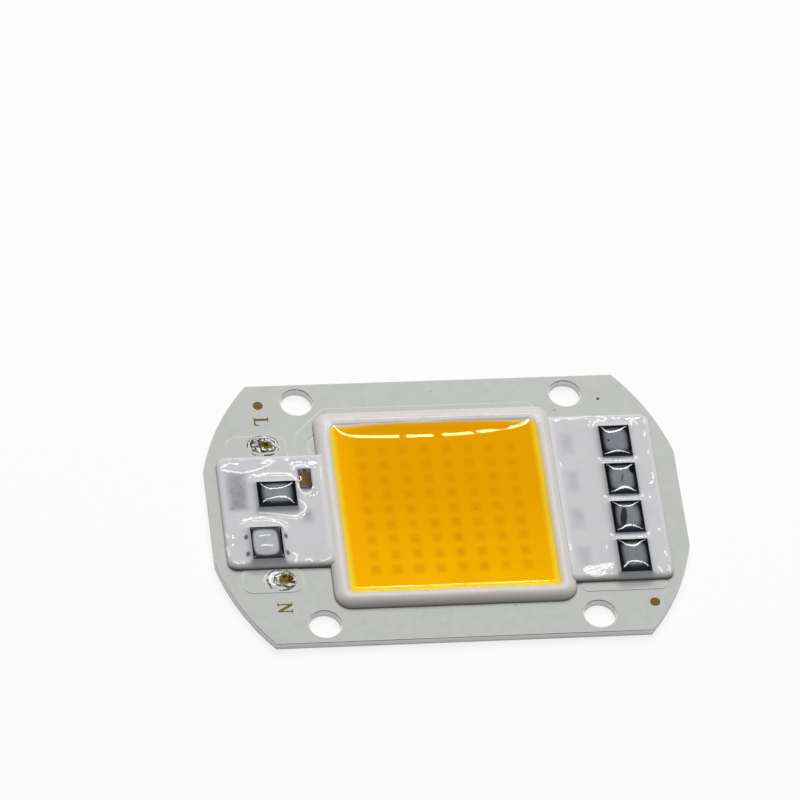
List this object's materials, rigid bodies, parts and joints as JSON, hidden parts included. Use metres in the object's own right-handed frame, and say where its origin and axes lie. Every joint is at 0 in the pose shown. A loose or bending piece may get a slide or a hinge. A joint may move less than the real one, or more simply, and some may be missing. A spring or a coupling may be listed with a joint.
{
  "type": "chip-on-board LED module",
  "caption": "Flat chip-on-board LED module: aluminium-core board with a square phosphor field inside a silicone dam, and its own mains driver parts under clear silicone.",
  "frame": {"origin": "centre of the board's underside, on its flat back face", "axes": "+X along the board towards the driver row, +Y across the board towards the line pad, +Z out of the light-emitting side"},
  "size_m": [0.06, 0.04, 0.0029],
  "materials": {
    "plate": "milled, punched edge",
    "insulation": "filled resin film",
    "copper": "etched copper foil",
    "mask": "white printed ink, semi-gloss",
    "gold": "thin gold plate, dull",
    "solder": "tinned, uneven",
    "die": "sapphire chip",
    "wire": "drawn gold wire",
    "dam": "white silicone, satin gloss",
    "gel": "phosphor-filled silicone, gloss",
    "mould": "moulded epoxy",
    "tin": "tin plate",
    "ceramic_brown": "fired ceramic",
    "ceramic_grey": "fired ceramic",
    "clear_silicone": "translucent silicone, high gloss"
  },
  "bodies": {
    "root": {"base_plate": "plate", "insulation_layer": "insulation", "line_copper": "copper", "fused_copper": "copper", "neutral_copper": "copper", "bus_copper": "copper", "feed_copper": "copper", "return_copper": "copper", "driver_copper": "copper", "component_lands": "copper", "solder_mask": "mask", "gold_marks": "gold", "line_solder": "solder", "neutral_solder": "solder", "component_solder": "solder", "die_column_1": "die", "die_column_2": "die", "die_column_3": "die", "die_column_4": "die", "die_column_5": "die", "die_column_6": "die", "die_column_7": "die", "die_column_8": "die", "bond_wires": "wire", "dam": "dam", "phosphor_gel": "gel", "driver_body_1": "mould", "driver_body_2": "mould", "driver_body_3": "mould", "driver_body_4": "mould", "driver_leads_1": "tin", "driver_leads_2": "tin", "driver_leads_3": "tin", "driver_leads_4": "tin", "regulator_body": "mould", "regulator_leads": "tin", "rectifier_body": "mould", "rectifier_leads": "tin", "capacitor_body": "ceramic_brown", "capacitor_ends": "tin", "fuse_body": "ceramic_grey", "fuse_ends": "tin", "bleed_body": "ceramic_grey", "bleed_ends": "tin", "sense_bodies": "ceramic_grey", "sense_ends": "tin", "input_encapsulant": "clear_silicone", "driver_encapsulant": "clear_silicone"}
  },
  "joints": []
}
